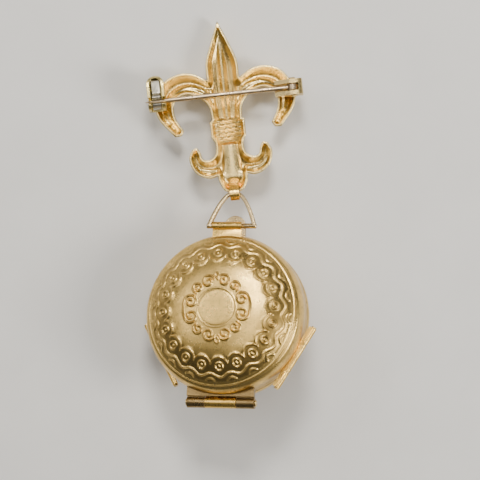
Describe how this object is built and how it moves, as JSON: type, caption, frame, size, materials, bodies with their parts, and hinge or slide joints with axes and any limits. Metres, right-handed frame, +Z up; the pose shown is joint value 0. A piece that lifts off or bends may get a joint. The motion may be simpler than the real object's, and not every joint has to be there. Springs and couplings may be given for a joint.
{
  "type": "folding photo locket on a fleur-de-lis brooch",
  "caption": "Gold-toned fleur-de-lis brooch with a round folding photo locket hanging from it by a stirrup bail; it lies face down with the pin fastening up.",
  "frame": {"origin": "bottom centre of the bounding box: on the plane the piece lies on, under its middle", "axes": "+Y from the locket to the tip of the brooch, +Z up, away from the resting plane, towards the back of the brooch; +X to the side of the brooch with the pin joint"},
  "size_m": [0.0262, 0.0548, 0.0163],
  "materials": {
    "antique_gold": "aged gold plate, satin with brown patina in the hollows",
    "bright_gold": "warm orange-yellow gold plate, polished",
    "pale_gold": "pale yellow gold plate, polished and lightly worn",
    "pin_metal": "dull rose-grey drawn wire",
    "grey_metal": "grey worn plate",
    "picture_card": "matt card",
    "acetate": "clear sheet"
  },
  "bodies": {
    "brooch": {"fleur_shell": "pale_gold", "hanger_strap": "bright_gold", "catch_housing": "pale_gold", "pin_joint_bracket": "pale_gold", "pin_rivet": "pale_gold"},
    "catch": {"catch_rotor": "grey_metal"},
    "pin": {"pin_stem": "pin_metal"},
    "bail": {"bail_stirrup": "antique_gold"},
    "back_cover": {"back_cover_shell": "antique_gold", "back_cover_photo": "picture_card", "back_cover_window": "acetate", "back_cover_bezel": "bright_gold", "bail_tube": "bright_gold", "bottom_hinge_cover_knuckles": "antique_gold", "bottom_hinge_pin": "pale_gold"},
    "upper_leaf": {"upper_leaf_tray": "antique_gold", "upper_leaf_photo": "picture_card", "upper_leaf_window": "acetate", "upper_leaf_bezel": "bright_gold", "bottom_hinge_leaf_knuckle": "bright_gold", "right_hinge_upper_knuckles": "bright_gold", "right_hinge_pin": "pale_gold"},
    "lower_leaf": {"lower_leaf_tray": "antique_gold", "lower_leaf_photo": "picture_card", "lower_leaf_window": "acetate", "lower_leaf_bezel": "bright_gold", "right_hinge_lower_knuckle": "bright_gold", "left_hinge_leaf_knuckles": "bright_gold", "left_hinge_pin": "pale_gold"},
    "front_cover": {"front_cover_shell": "antique_gold", "front_cover_photo": "picture_card", "front_cover_window": "acetate", "front_cover_bezel": "bright_gold", "left_hinge_cover_knuckle": "bright_gold", "thumb_tab": "antique_gold"}
  },
  "joints": [
    {"name": "pin_swing", "type": "hinge", "parent": "brooch", "child": "pin", "pos_m": [0.01174, 0.01684, 0.00511], "axis": [0, 0.9928, -0.1198], "range_deg": [0, 100]},
    {"name": "catch_turn", "type": "hinge", "parent": "brooch", "child": "catch", "pos_m": [-0.00777, 0.01684, 0.00511], "axis": [1, 0, 0], "range_deg": [0, 100]},
    {"name": "bail_swing", "type": "hinge", "parent": "brooch", "child": "bail", "pos_m": [0.00189, 0.00259, 0.00557], "axis": [-0.9684, 0.0866, -0.2337], "range_deg": [-60, 100]},
    {"name": "locket_swing", "type": "hinge", "parent": "bail", "child": "back_cover", "pos_m": [0.00101, -0.00185, 0.00757], "axis": [0.9684, -0.0866, 0.2337], "range_deg": [-95, 40]},
    {"name": "bottom_hinge_swing", "type": "hinge", "parent": "back_cover", "child": "upper_leaf", "pos_m": [-0.00301, -0.02621, 0.01261], "axis": [-0.9684, 0.0866, -0.2337], "range_deg": [0, 180]},
    {"name": "right_hinge_swing", "type": "hinge", "parent": "upper_leaf", "child": "lower_leaf", "pos_m": [0.00803, -0.02101, 0.01225], "axis": [-0.6184, -0.7739, 0.1367], "range_deg": [0, 150]},
    {"name": "left_hinge_swing", "type": "hinge", "parent": "lower_leaf", "child": "front_cover", "pos_m": [-0.01104, -0.01933, 0.00677], "axis": [-0.35, 0.8604, -0.3704], "range_deg": [0, 150]}
  ]
}
